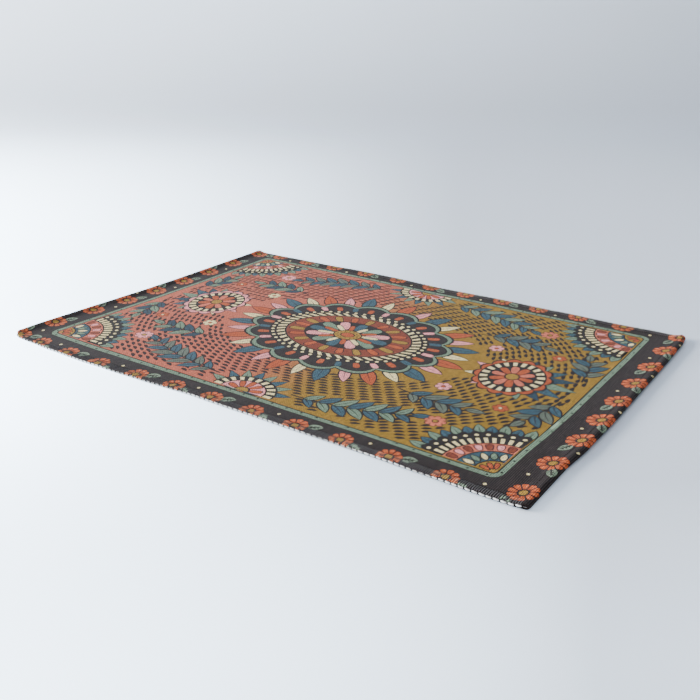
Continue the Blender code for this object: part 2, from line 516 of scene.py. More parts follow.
def lined_leaf(x, y, angle, length, width, colour, line, bend=0.0):
    """Leaf with a dark outline and a dark middle vein."""
    PRINT.lay(leaf_outline(x, y, angle, length + line, width + 2 * line, bend, 6, -line), INK)
    PRINT.lay(leaf_outline(x, y, angle, length, width, bend), colour)
    vein = []
    for step in range(4):
        t = 0.06 + 0.7 * step / 3
        vein.append(beside(x, y, angle, length * t, bend * math.sin(math.pi * t)))
    lay_stroke(vein, 1.6, 0.7, INK)


def border_flower(x, y, turn, size):
    """Ten-petalled flower of the border."""
    def streak(angle, start, end, start_width, end_width, colour):
        path = [polar(x, y, size * start, angle), polar(x, y, size * end, angle)]
        lay_stroke(path, start_width, end_width, colour)

    for index in range(BORDER_PETALS):
        angle = turn + TAU * index / BORDER_PETALS
        PRINT.lay(wedge_petal(x, y, angle, size * 0.34, size), PETAL)
        streak(angle, 0.40, 0.61, 1.5, 0.4, DEEP_ORANGE)
        streak(angle - 0.08, 0.70, 0.93, 2.2, 1.1, PETAL_LIGHT)
    lay_dot(x, y, size * 0.42, 16, INK)
    lay_dot(x, y, size * 0.28, 14, GOLD)


def border_leaf(x, y, angle, length=21.5):
    """Broad veined leaf of the border."""
    PRINT.lay(leaf_outline(x, y, angle, length, length * 0.63, 0.8, 8), BORDER_LEAF)
    lay_stroke([polar(x, y, 0.3, angle), polar(x, y, length * 0.86, angle)], 2.5, 1.2, INK)
    for share, reach in ((0.17, 0.20), (0.38, 0.26), (0.60, 0.20)):
        root = polar(x, y, share * length, angle)
        for side in (-1, 1):
            lay_stroke([root, polar(*root, reach * length, angle + side * 0.80)], 1.9, 1.2, INK)


def garland(places, fixed, inward, along_x, first_inner, size):
    """Border flowers in a row with a leaf and a dot between each two, side by side in turn."""
    chance = random.Random(int(abs(fixed) * 7 + len(places)))
    for place in places[1:-1]:
        x, y = (place, fixed) if along_x else (fixed, place)
        border_flower(x, y, chance.uniform(0, TAU / BORDER_PETALS), size + chance.uniform(-0.4, 0.4))
    inner = first_inner
    for here, after in zip(places, places[1:]):
        step = 1 if after > here else -1
        side = inward if inner else -inward
        foot = (after - step * 15.5, fixed + side * 5.0)
        tip = (after - step * 35.0, fixed + side * 13.0)
        dot = ((here + after) / 2, fixed - side * 13.5)
        if not along_x:
            foot, tip, dot = foot[::-1], tip[::-1], dot[::-1]
        border_leaf(*foot, math.atan2(tip[1] - foot[1], tip[0] - foot[0]))
        lay_dot(*dot, 2.3, 10, CREAM)
        inner = not inner


def even_places(start, end, margin, count):
    """Places spread evenly between two ends, with a margin at both."""
    return [start + margin + (end - start - 2 * margin) * index / (count - 1) for index in range(count)]


def print_border():
    """Charcoal border with its garlands and the sage stripe with its dots."""
    PRINT.lay([(-HALF_CLOTH, -HALF_WIDTH), (HALF_CLOTH, -HALF_WIDTH), (HALF_CLOTH, HALF_WIDTH),
               (-HALF_CLOTH, HALF_WIDTH)], CHARCOAL, even=True)
    garland(NEAR_ROW, -HALF_WIDTH + 6.5, 1, True, False, 17.4)
    garland(FAR_ROW, HALF_WIDTH - 6.0, -1, True, False, 17.4)
    garland(RIGHT_ROW, HALF_LENGTH - 15.2, -1, False, False, 19.4)
    garland(LEFT_ROW, -HALF_LENGTH + 18.9, 1, False, True, 18.7)
    for number, (x, y) in enumerate(CORNER_FLOWERS):
        border_flower(x, y, 0.17 * number, 18.0)
    border_leaf(434.0, -294.0, math.radians(222), 19.0)
    x0, y0, x1, y1 = STRIPE
    for inset, radius, colour in ((0.0, 14.0, SAGE), (STRIPE_WIDTH, 8.0, INK),
                                  (STRIPE_WIDTH + STRIPE_LINE, 6.5, GROUND)):
        PRINT.lay(rounded_box(x0 + inset, y0 + inset, x1 - inset, y1 - inset, radius), colour)
    middle = STRIPE_WIDTH / 2
    for x in even_places(x0, x1, 16, 32):
        for y in (y0 + middle, y1 - middle):
            lay_dot(x, y, STRIPE_DOT, 8, INK)
    for y in even_places(y0, y1, 15, 17):
        for x in (x0 + middle, x1 - middle):
            lay_dot(x, y, STRIPE_DOT, 8, INK)


def petal_ring(x, y, radius_x, radius_y, inner, petals, width, colours, line, turn=0.0):
    """Outlined petals round an oval; inner is the share of the radius at which they start."""
    for index in range(petals):
        tip_x, tip_y = on_oval(0, 0, radius_x, radius_y, turn + TAU * index / petals)
        reach = math.hypot(tip_x, tip_y)
        angle = math.atan2(tip_y, tip_x)
        PRINT.lay(petal_outline(x, y, angle, reach * inner - line, reach + line, width + 2 * line), INK)
        PRINT.lay(petal_outline(x, y, angle, reach * inner, reach, width), colours[index % len(colours)])


def bead_ring(x, y, radius_x, radius_y, beads, size, colour):
    """Dots set evenly round an oval."""
    for index in range(beads):
        lay_dot(*on_oval(x, y, radius_x, radius_y, TAU * index / beads), size, 8, colour)


def rope_ring(x, y, radius_x, radius_y, inner, turns, colour):
    """Slanted blocks round an oval, like the strands of a rope."""
    step = TAU / turns
    shares = (0.0, 0.28, 0.56)
    for index in range(turns):
        t = index * step
        outline = [on_oval(x, y, radius_x, radius_y, t + (share + 0.5) * step) for share in shares]
        for share in reversed(shares):
            outline.append(on_oval(x, y, radius_x * inner, radius_y * inner, t + share * step))
        PRINT.lay(outline, colour)


def small_flower(x, y, radius, petals, colour, heart, turn):
    """Small outlined flower."""
    width = TAU * radius * 0.72 / petals
    for foot, line, dyed in ((0.1, 1.2, INK), (0.2, 0.0, colour)):
        for index in range(petals):
            angle = turn + TAU * index / petals
            PRINT.lay(petal_outline(x, y, angle, radius * foot, radius + line, width + 2 * line, 5), dyed)
    lay_dot(x, y, radius * 0.34, 10, INK)
    lay_dot(x, y, radius * 0.23, 8, heart)
    PRINT.take(x, y, radius + 2)


def spray(x, y, angle, length, curl, pairs, leaf, colours):
    """Curved stem with a pair of leaves at each step and one at its tip."""
    steps = pairs * 2 + 2
    path = [(x, y)]
    headings = [angle]
    for index in range(steps):
        path.append(polar(*path[-1], length / steps, angle + curl * (index + 0.5) / steps))
        headings.append(angle + curl * (index + 1) / steps)
    lay_stroke(path, 3.2, 1.6, INK)
    for place in path[1::2]:
        PRINT.take(*place, 4.0)
    for pair in range(pairs):
        at = 2 * pair + 2
        grow = 0.72 + 0.42 * math.sin(math.pi * (pair + 0.8) / (pairs + 0.6))
        width = SPRAY_LEAF_WIDTH * grow
        for side in (-1, 1):
            heading = headings[at] + side * 0.78
            colour = colours[(pair + (side > 0)) % len(colours)]
            lined_leaf(*path[at], heading, leaf * grow, width, colour, SPRAY_LINE, -side * leaf * 0.07)
            for reach in (0.35, 0.75):
                PRINT.take(*polar(*path[at], leaf * grow * reach, heading), SPRAY_LEAF_WIDTH * 0.5)
    lined_leaf(*path[-1], headings[-1], leaf * 0.8, SPRAY_LEAF_WIDTH * 0.85, colours[0], SPRAY_LINE)
    PRINT.take(*polar(*path[-1], leaf * 0.4, headings[-1]), SPRAY_LEAF_WIDTH * 0.6)


def banded_arc(x, y, radius_x, radius_y, inner, start, end, count, colours):
    """Blocks side by side along part of an oval ring."""
    for index in range(count):
        turns = [start + (end - start) * (index + step / 3) / count for step in range(4)]
        outline = [on_oval(x, y, radius_x, radius_y, t) for t in turns]
        outline += [on_oval(x, y, radius_x * inner, radius_y * inner, t) for t in reversed(turns)]
        PRINT.lay(outline, colours[index % len(colours)])


def print_centre():
    """Lobed oval medallion in the middle of the field."""
    x, y = FIELD_X, FIELD_Y
    for index, t in enumerate(fan(0.0, TAU, 32)):
        root = on_oval(x, y, 160, 126, t)
        tip = on_oval(x, y, 222, 184, t)
        angle = math.atan2(tip[1] - root[1], tip[0] - root[0])
        length = math.hypot(tip[0] - root[0], tip[1] - root[1])
        shorter, width, colours = ((0.86, 17, [CREAM, PINK]), (1.0, 22, [TEAL, ORANGE]))[index % 2]
        lined_leaf(*root, angle, length * shorter, width, colours[index // 2 % 2], 2.4)
    bands = ((184, 147, INK), (180, 143, SAGE), (173.5, 136.5, INK), (170, 133, CHARCOAL))
    for radius_x, radius_y, colour in bands:
        PRINT.lay(lobed_oval(x, y, radius_x, radius_y, 16, 0.10), colour)
    petal_ring(x, y, 161, 124, 0.84, 32, 12.0, [PINK, ORANGE, TEAL, ORANGE], 1.0)
    lay_oval(x, y, 141, 107, 64, INK)
    bead_ring(x, y, 134.5, 100.5, 52, 3.1, CREAM)
    lay_oval(x, y, 128, 94, 64, CREAM)
    rope_ring(x, y, 128.4, 94.4, 0.885, 46, INK)
    lay_oval(x, y, 113.6, 83.4, 56, INK)
    lay_oval(x, y, 110.6, 80.4, 56, DEEP_ORANGE)
    petal_ring(x, y, 106, 76, 0.70, 20, 13.0, [ORANGE, GOLD], 1.9)
    lay_oval(x, y, 79, 56, 48, INK)
    petal_ring(x, y, 75, 53, 0.42, 12, 19.5, [TEAL, PINK, SAGE], 1.9)
    petal_ring(x, y, 55, 40, 0.3, 12, 9.5, [CREAM, ORANGE], 1.7, TAU / 24)
    lay_oval(x, y, 26, 20, 28, INK)
    lay_oval(x, y, 23.6, 17.8, 28, GOLD)
    bead_ring(x, y, 18.5, 13.5, 14, 1.6, INK)
    lay_oval(x, y, 13.4, 9.8, 20, INK)
    lay_oval(x, y, 11.2, 7.8, 18, ORANGE)
    for index in range(-7, 8):
        across = index * 25
        PRINT.take(x + across, y, math.sqrt(max(0, 1 - (across / 190) ** 2)) * 148)


def print_pendant(side):
    """Rosette in a banded ring with leaves at both ends, on the long axis."""
    x = FIELD_X + side * 292
    y = FIELD_Y
    facing = 0.0 if side > 0 else math.pi
    for index in range(9):
        from_middle = abs(index - 4)
        heading = facing + (index - 4) * 0.36
        lined_leaf(x, y, heading, 92 - from_middle * 5, 22, [TEAL, SAGE, DEEP_TEAL][index % 3], 2.1)
        PRINT.take(*polar(x, y, 82 - from_middle * 5, heading), 7)
    for index in range(4):
        heading = facing + ((index - 1.5) * 0.62 + math.pi)
        lined_leaf(x, y, heading, 72 - abs(index - 1.5) * 3, 20, [CREAM, PINK][index % 2], 2.1)
    PRINT.lay(lobed_oval(x, y, 58, 70, 14, 0.12), INK)
    PRINT.lay(lobed_oval(x, y, 54.5, 66.5, 14, 0.12), [PINK, ORANGE][side > 0])
    lay_oval(x, y, 47.5, 57.5, 44, INK)
    banded_arc(x, y, 45, 55, 0.76, 0, TAU, 40, [CREAM, INK])
    lay_oval(x, y, 34.4, 42.0, 40, INK)
    petal_ring(x, y, 31.5, 38.5, 0.3, 10, 13.5, [ORANGE, CORAL], 1.7)
    lay_oval(x, y, 11.5, 13, 18, INK)
    lay_oval(x, y, 9, 10.4, 16, GOLD)
    PRINT.take(x, y, 66)
    PRINT.take(x, y + 14, 56)
    PRINT.take(x, y - 14, 56)


def inked_petals(x, y, angles, dark, light, colours):
    """Petals side by side over wider dark ones; dark and light hold inner and outer reach and width."""
    for index, angle in enumerate(angles):
        PRINT.lay(petal_outline(x, y, angle, *dark, 5), INK)
        PRINT.lay(petal_outline(x, y, angle, *light, 5), colours[index % len(colours)])


def print_corner(side_x, side_y):
    """Quarter fan in a corner of the field."""
    x = FIELD_X + side_x * (FIELD_HALF_X - 1)
    y = FIELD_Y + side_y * (FIELD_HALF_Y - 1)
    start = math.atan2(-side_y, -side_x) - TAU / 8

    def spread(count):
        return fan(start, TAU / 4, count)

    def quarter(radius, colour, lobes=0):
        outline = [(x, y)]
        for index in range(37):
            t = index / 36
            reach = radius
            if lobes:
                reach *= 0.93 + 0.07 * abs(math.sin(lobes * math.pi * t)) ** 0.8
            outline.append(polar(x, y, reach, start + TAU / 4 * t))
        PRINT.lay(outline, colour)

    for index, angle in enumerate(spread(11)):
        lined_leaf(*polar(x, y, 92, angle), angle, 30 - 5 * (index % 2), 13, [SAGE, TEAL][index % 2], 1.9)
        PRINT.take(*polar(x, y, 110, angle), 8)
    quarter(104, INK, 10)
    for angle in spread(10):
        lay_dot(*polar(x, y, 92.5, angle), 3.0, 8, CREAM)
    quarter(84.5, CREAM)
    banded_arc(x, y, 84.5, 84.5, 0.84, start, start + TAU / 4, 25, [INK, CREAM])
    quarter(71.5, INK)
    quarter(69, CORAL)
    inked_petals(x, y, spread(7), (51, 68, 13.5), (52.4, 66.2, 10.0), [DEEP_ORANGE, PINK])
    quarter(50.5, INK)
    quarter(48, TEAL)
    for index, angle in enumerate(spread(5)):
        PRINT.lay(leaf_outline(*polar(x, y, 27, angle), angle, 20.5, 11.4), INK)
        PRINT.lay(leaf_outline(*polar(x, y, 29.2, angle), angle, 16.4, 7.6), [CREAM, SAGE][index % 2])
    quarter(27, INK)
    quarter(24.5, GOLD)
    inked_petals(x, y, spread(3), (6, 23.0, 9.5), (8, 21.2, 6.4), [ORANGE])
    PRINT.take(x, y, 108)


def print_side_fan(side_y):
    """Half rosette on the long side of the field with leaves round it."""
    x = FIELD_X
    y = FIELD_Y + side_y * (FIELD_HALF_Y - 1)
    up = -side_y * TAU / 4

    def half(radius_x, radius_y, colour):
        turns = [up - TAU / 4 + TAU / 2 * index / 32 for index in range(33)]
        PRINT.lay([on_oval(x, y, radius_x, radius_y, t) for t in turns], colour)

    for index in range(8):
        from_middle = index - 3.5
        length = 66 + abs(from_middle) * 2.5
        lined_leaf(x, y, up + from_middle * 0.37, length, 17, [TEAL, SAGE][index % 2], 2.0)
    half(54, 46, INK)
    banded_arc(x, y, 51, 43, 0.76, up - TAU / 4, up + TAU / 4, 21, [CREAM, INK])
    half(38.6, 32.6, INK)
    half(36, 30, PINK)
    angles = [up + (index - 2) * 0.62 for index in range(5)]
    inked_petals(x, y, angles, (10, 33, 12.5), (11, 31, 9.2), [ORANGE])
    half(13, 12, INK)
    half(10.4, 9.4, GOLD)
    PRINT.take(x, y, 66)
    PRINT.take(x - 34, y, 42)
    PRINT.take(x + 34, y, 42)


def print_vines(side_x, side_y):
    """Sprays of leaves and small flowers in one quarter of the field."""
    def turned(angle):
        return math.atan2(math.sin(angle) * side_y, math.cos(angle) * side_x)

    hand = side_x * side_y
    right = side_x > 0
    leaves = [TEAL, SAGE] if right else [TEAL, GREY_LEAF]
    others = [GREY_LEAF, TEAL] if right else [SAGE, DEEP_TEAL]
    sprays = [
        (66, 232, turned(-0.02), 178, -hand * 0.42, 7, 35, leaves),
        (378, 38, turned(math.pi / 2 + 0.10), 84, hand * 0.2, 3, 32, others),
        (178, 128, turned(0.22), 108, -hand * 0.34, 4, 34, others),
    ]
    flowers = [
        (272, 188, 15, 8, [PINK, CORAL][right], GOLD, 0.2),
        (226, 86, 12, 6, [CREAM, PINK][right], ORANGE, 0.5),
        (322, 104, 11, 6, ORANGE, CREAM, 0.1),
    ]
    for draw, rows in ((spray, sprays), (small_flower, flowers)):
        for out_x, out_y, *rest in rows:
            draw(FIELD_X + side_x * out_x, FIELD_Y + side_y * out_y, *rest)


def print_filling():
    """Short dark dashes that follow ovals round the middle, where nothing else is."""
    chance = random.Random(11)
    reach, farthest = FILLING_REACH
    row = 0
    while reach < farthest:
        wide = reach * 1.18
        high = reach * 0.92
        around = math.pi * (3 * (wide + high) - math.sqrt((3 * wide + high) * (wide + 3 * high)))
        count = int(around / FILLING_PITCH)
        for index in range(count):
            t = TAU * (index + 0.5 * (row % 2)) / count
            x, y = on_oval(FIELD_X, FIELD_Y, wide, high, t)
            if abs(x - FIELD_X) > FIELD_HALF_X - 9 or abs(y - FIELD_Y) > FIELD_HALF_Y - 6:
                continue
            if not PRINT.free(x, y, 1.2):
                continue
            angle = math.atan2(high * math.cos(t), -wide * math.sin(t)) + chance.uniform(-0.12, 0.12)
            PRINT.lay(leaf_outline(*polar(x, y, -7.6, angle), angle, 16.2, 6.1, 1.5, 5), INK)
        reach += FILLING_ROW_PITCH
        row += 1


def print_cloth():
    """The whole print, from the ground up; the filling lies under the leaves."""
    print_border()
    ground_shapes = len(PRINT.shapes)
    for side_y in (-1, 1):
        print_side_fan(side_y)
    for side_x in (-1, 1):
        print_pendant(side_x)
        for side_y in (-1, 1):
            print_corner(side_x, side_y)
    for side_x in (-1, 1):
        for side_y in (-1, 1):
            print_vines(side_x, side_y)
    print_centre()
    motif_shapes = len(PRINT.shapes)
    print_filling()
    filling = PRINT.shapes[motif_shapes:]
    PRINT.shapes[ground_shapes:] = filling + PRINT.shapes[ground_shapes:motif_shapes]


def both_ways(half, steps):
    """Even rows from minus a half length to the half length."""
    return [-half + 2 * half * index / steps for index in range(steps + 1)]


def cloth_rows():
    """Rows of points along and across the flat cloth, closer together where it bends."""
    rows_a = {round(a, 3) for a in both_ways(FLAT_START, 112)}
    for row in HEM_ROWS[::2] + HEM_ROWS[-1:]:
        rows_a.add(round(FLAT_START + row[0], 3))
        rows_a.add(round(-FLAT_START - row[0], 3))
    insets = (0.0, 2.6, 6.0, 10.0, 12.6, 14.6, 17.0, 22.0, 28.0)
    rows_b = [-HALF_WIDTH + EDGE_ROUNDING + inset for inset in insets]
    rows_b += [-b for b in rows_b]
    return sorted(rows_a), sorted(rows_b + both_ways(HALF_WIDTH - 34, 76))


def box_of(outline):
    """Lowest and highest corner of an outline."""
    across = [p[0] for p in outline]
    up = [p[1] for p in outline]
    return min(across), min(up), max(across), max(up)


def box_corners(box):
    """Corners of a box, counter-clockwise."""
    return [(box[0], box[1]), (box[2], box[1]), (box[2], box[3]), (box[0], box[3])]


def covers(outline, box):
    """True where an outline with no dents holds the whole box."""
    for x, y in box_corners(box):
        for (x0, y0), (x1, y1) in zip(outline, outline[1:] + outline[:1]):
            if (x1 - x0) * (y - y0) - (y1 - y0) * (x - x0) < 0:
                return False
    return True


def shapes_on(box, shapes):
    """Colour that covers a box and the shapes over it that reach into the box."""
    base = CHARCOAL
    over = []
    for extent, outline, colour in shapes:
        if extent[0] > box[2] or extent[2] < box[0] or extent[1] > box[3] or extent[3] < box[1]:
            continue
        if covers(outline, box):
            base = colour
            over = []
        else:
            over.append((outline, colour))
    return base, over


def flatten_tile(tile_a, tile_b, shapes):
    """Triangles of one tile of the flat print, each as three points and a colour."""
    box = (tile_a[0], tile_b[0], tile_a[-1], tile_b[-1])
    base, over = shapes_on(box, shapes)
    points = [Vector(corner) for corner in box_corners(box)]
    outlines = [[0, 1, 2, 3]]
    dyes = [base]
    for outline, colour in over:
        first = len(points)
        points.extend(Vector(p) for p in outline)
        outlines.append(list(range(first, len(points))))
        dyes.append(colour)
    points.extend(Vector((a, b)) for a in tile_a for b in tile_b)
    made, _, triangles, _, _, sources = delaunay_2d_cdt(points, [], outlines, 1, 1e-4, True)
    return [([tuple(made[index]) for index in triangle], dyes[max(source)])
            for triangle, source in zip(triangles, sources) if 0 in source]


def flatten_print():
    """Triangles of the flat printed cloth with the colour of each, worked out tile by tile."""
    shapes = [(box_of(outline), outline, colour) for outline, colour in PRINT.shapes]
    rows_a, rows_b = cloth_rows()
    flat_points = []
    found = {}
    kept = []
    colours = []
    for first_a in range(0, len(rows_a) - 1, TILE_ROWS_A):
        tile_a = rows_a[first_a:first_a + TILE_ROWS_A + 1]
        for first_b in range(0, len(rows_b) - 1, TILE_ROWS_B):
            tile_b = rows_b[first_b:first_b + TILE_ROWS_B + 1]
            for corners, colour in flatten_tile(tile_a, tile_b, shapes):
                keys = [(round(a * 200), round(b * 200)) for a, b in corners]
                if len(set(keys)) < 3:
                    continue
                for key, corner in zip(keys, corners):
                    if key not in found:
                        found[key] = len(flat_points)
                        flat_points.append(corner)
                kept.append([found[key] for key in keys])
                colours.append(colour)
    return flat_points, kept, colours


def face_raw(a, b):
    """Printed face before the cloth settles."""
    x, z, _, _ = section(a)
    flat = ease((FLAT_START - abs(a)) / 30)
    uneven = 0.16 * math.sin(a * 0.031 + 1.3 * math.sin(b * 0.021)) + 0.14 * math.sin(b * 0.044 + a * 0.013)
    return (x, b, z + uneven * flat - FACE_SQUEEZE * edge_squeeze(b) * flat)


def back_raw(a, b):
    """Back before the cloth settles."""
    _, _, x, z = section(a)
    flat = ease((FLAT_START + 12 - abs(a)) / 12)
    return (x, b, z + BACK_SQUEEZE * edge_squeeze(b) * flat)


def side_raw(a, b, share, out):
    """Point of the side, a share of the way from face to back, before the cloth settles."""
    x, y, z = [p + (q - p) * share for p, q in zip(face_raw(a, b), back_raw(a, b))]
    edge = HALF_WIDTH - EDGE_ROUNDING
    if abs(abs(b) - edge) < 0.01:
        y = math.copysign(edge + out, b)
    return (x, y, z)


def back_places():
    """Points spread over the back, wider apart than on the face."""
    rows_a = both_ways(FLAT_START, 60)
    for row in HEM_ROWS[3:-1:3]:
        rows_a += [FLAT_START + row[0], -FLAT_START - row[0]]
    rows_b = both_ways(HALF_WIDTH - 17, 40)
    for inset in (3.0, 7.0, 11.0, 13.5):
        rows_b += [HALF_WIDTH - inset, inset - HALF_WIDTH]
    return [(a, b) for a in rows_a for b in rows_b]


def open_loop(triangles):
    """Corners round the open edge of a flat mesh, in order."""
    edges = set()
    for triangle in triangles:
        for index in range(3):
            edges.add((triangle[index], triangle[(index + 1) % 3]))
    after = {p: q for p, q in edges if (q, p) not in edges}
    start = min(after)
    loop = [start]
    while after[loop[-1]] != start:
        loop.append(after[loop[-1]])
    return loop


def new_piece(name, points, faces):
    """Smooth mesh object in the scene."""
    mesh = bpy.data.meshes.new(name)
    mesh.from_pydata(points, [], faces)
    mesh.polygons.foreach_set("use_smooth", [True] * len(faces))
    piece = bpy.data.objects.new(name, mesh)
    bpy.context.scene.collection.objects.link(piece)
    return piece


def lay_back(points, faces, rim):
    """Adds the back; gives its flat points and the corners that lie below the rim of the face."""
    inside = [Vector(place) for place in back_places()]
    flat_back, _, triangles, origins, _, covered = delaunay_2d_cdt(
        rim + inside, [], [list(range(len(rim)))], 1, 1e-4, True)
    first = len(points)
    below = {}
    for index, (point, sources) in enumerate(zip(flat_back, origins)):
        points.append(settle(*back_raw(*point)))
        for source in sources:
            if source < len(rim):
                below[source] = first + index
    for triangle, sources in zip(triangles, covered):
        if 0 in sources:
            faces.append(tuple(first + corner for corner in reversed(triangle)))
    return flat_back, [below[index] for index in range(len(rim))]


def lay_sides(points, faces, flat_points, loop, below):
    """Adds the rounded sides between the rim of the face and the corners below it."""
    rows = [loop]
    for share, out in SIDE_ROUNDING:
        rows.append(list(range(len(points), len(points) + len(loop))))
        points.extend(settle(*side_raw(*flat_points[index], share, out)) for index in loop)
    rows.append(below)
    for upper, lower in zip(rows, rows[1:]):
        for index in range(len(loop)):
            after = (index + 1) % len(loop)
            faces.append((upper[index], lower[index], lower[after], upper[after]))


def bake_place(a, b, foot, span):
    """Place of a flat point in the flat picture of the cloth."""
    wide = 2 * HALF_CLOTH
    return (BAKE_EDGE + (a + HALF_CLOTH) / wide * span, foot + (b + HALF_WIDTH) / wide * span)


def weave_cloth():
    """One closed sheet: printed face, white back and the sides between them."""
    flat_points, triangles, colours = flatten_print()
    loop = open_loop(triangles)
    points = [settle(*face_raw(a, b)) for a, b in flat_points]
    faces = [tuple(triangle) for triangle in triangles]
    face_count = len(faces)
    first_back = len(points)
    flat_back, below = lay_back(points, faces, [Vector(flat_points[index]) for index in loop])
    side_first = len(faces)
    lay_sides(points, faces, flat_points, loop, below)
    count = len(loop)

    def face_corner(number, index):
        a, b = flat_points[index]
        colour = ground_dye(a) if colours[number] is GROUND else colours[number]
        return a, b, colour, bake_place(a, b, BAKE_EDGE, BAKE_SPAN)

    def back_corner(index):
        a, b = flat_back[index - first_back]
        return a, b, WHITE_YARN, bake_place(a, b, BAKE_BACK_FOOT, BAKE_BACK_SPAN)

    def side_corner(number, place):
        row, step = divmod(number - side_first, count)
        level = row + (place in (1, 2))
        later = place in (2, 3)
        a, b = flat_points[loop[(step + later) % count]]
        dark = level < SIDE_DARK_ROWS or abs(a) > FLAT_START + HEM_DARK_IN
        share = (step + later) / count
        bake_at = (BAKE_EDGE + share * BAKE_SPAN, BAKE_SIDE_FOOT + BAKE_SIDE_SPAN * level / 5)
        return a, b + math.copysign(level * SIDE_ROW_HEIGHT, b), CHARCOAL if dark else WHITE_YARN, bake_at

    rug = new_piece("printed_cloth", points, faces)
    mesh = rug.data
    dyes = mesh.attributes.new("dye", "FLOAT_COLOR", "CORNER")
    bake = mesh.uv_layers.new(name="OFBake")
    cloth = mesh.uv_layers.new(name="cloth")
    corner = 0
    for number, face in enumerate(faces):
        for place, index in enumerate(face):
            if number < face_count:
                a, b, colour, bake_at = face_corner(number, index)
            elif number < side_first:
                a, b, colour, bake_at = back_corner(index)
            else:
                a, b, colour, bake_at = side_corner(number, place)
            dyes.data[corner].color = colour
            bake.data[corner].uv = bake_at
            cloth.data[corner].uv = (a / 1000, b / 1000)
            corner += 1
    materials = [0] * face_count + [1] * (len(faces) - face_count)
    mesh.polygons.foreach_set("material_index", materials)
    mesh.update()
    lookup = BVHTree.FromPolygons([(a, b, 0.0) for a, b in flat_points], triangles)
    return rug, lookup, colours


class ThreadWork:
    """Threads of one seam, joined into one piece."""

    lift = Vector((0, 0, 1))

    def __init__(self, outward):
        self.outward = outward
        self.points = []
        self.faces = []
        self.dyes = []

    def strand(self, path, across, up, dyes, sides=6, low=1.0, high=1.0, top_highlight=0.0):
        """Thread along a path, with a half width across and a half height up at each point.

        The dye is multiplied by low on the flanks and by high along the top, where a little pale grey is
        added: painted shade on the flanks and a painted highlight along the top.
        """
        rings = []
        for index, centre in enumerate(path):
            run = (path[min(len(path) - 1, index + 1)] - path[max(0, index - 1)]).normalized()
            out = self.lift if abs(run.dot(self.lift)) < 0.92 else self.outward
            side = run.cross(out).normalized()
            rise = side.cross(run).normalized()
            first = len(self.points)
            rings.append(list(range(first, first + sides)))
            for step in range(sides):
                t = TAU * step / sides
                offset = side * (across[index] * math.cos(t)) + rise * (up[index] * math.sin(t))
                self.points.append(centre + offset)
                # Painted shade on the flanks and painted highlight along the top of the thread.
                top = max(0.0, math.sin(t))
                share = low + (high - low) * top
                lit = [min(0.95, value * share + top_highlight * top * top) for value in dyes[index][:3]]
                self.dyes.append(dye(*lit))
        for ring, after in zip(rings, rings[1:]):
            for step in range(sides):
                other = (step + 1) % sides
                self.faces.append((ring[step], ring[other], after[other], after[step]))
        self.faces.append(tuple(reversed(rings[0])))
        self.faces.append(tuple(rings[-1]))

    def sew(self, name):
        """The finished piece."""
        piece = new_piece(name, self.points, self.faces)
        dyes = piece.data.attributes.new("dye", "FLOAT_COLOR", "POINT")
        for index, colour in enumerate(self.dyes):
            dyes.data[index].color = colour
        piece.data.update()
        bpy.ops.object.select_all(action="DESELECT")
        piece.select_set(True)
        bpy.context.view_layer.objects.active = piece
        bpy.ops.object.mode_set(mode="EDIT")
        bpy.ops.mesh.select_all(action="SELECT")
        bpy.ops.mesh.normals_make_consistent(inside=False)
        bpy.ops.object.mode_set(mode="OBJECT")
        return piece


def printed_at(lookup, colours, a, b, strength):
    """Dye of the print at a flat place on the cloth."""
    edge = HALF_WIDTH - EDGE_ROUNDING - 0.2
    hit = lookup.ray_cast(Vector((a, max(-edge, min(edge, b)), 1.0)), Vector((0, 0, -1)))
    colour = colours[hit[2]] if hit[2] is not None else CHARCOAL
    if colour is GROUND:
        colour = ground_dye(a)
    return dye(*[value * strength for value in colour[:3]])


def paleness(x):
    """1 where the pale edge thread faces outward, 0 where the edge is rolled down."""
    share = 0.0
    for start, end in PALE_STRETCHES:
        share = max(share, ease((x - start) / PALE_FADE + 0.5) * ease((end - x) / PALE_FADE + 0.5))
    return share


def hem_rise(x):
    """How far the folded hem lifts the printed face above the flat cloth at x."""
    from_end = HALF_LENGTH - abs(x)
    to_crest = HEM_SECTION[:HEM_CREST_ROW + 1]
    for (in_a, z_a, _, _), (in_b, z_b, _, _) in zip(to_crest, to_crest[1:]):
        if in_b <= from_end <= in_a:
            return z_a + (z_b - z_a) * (from_end - in_a) / (in_b - in_a) - THICKNESS
    return 0.0 if from_end > HEM_ZONE else to_crest[-1][1] - THICKNESS


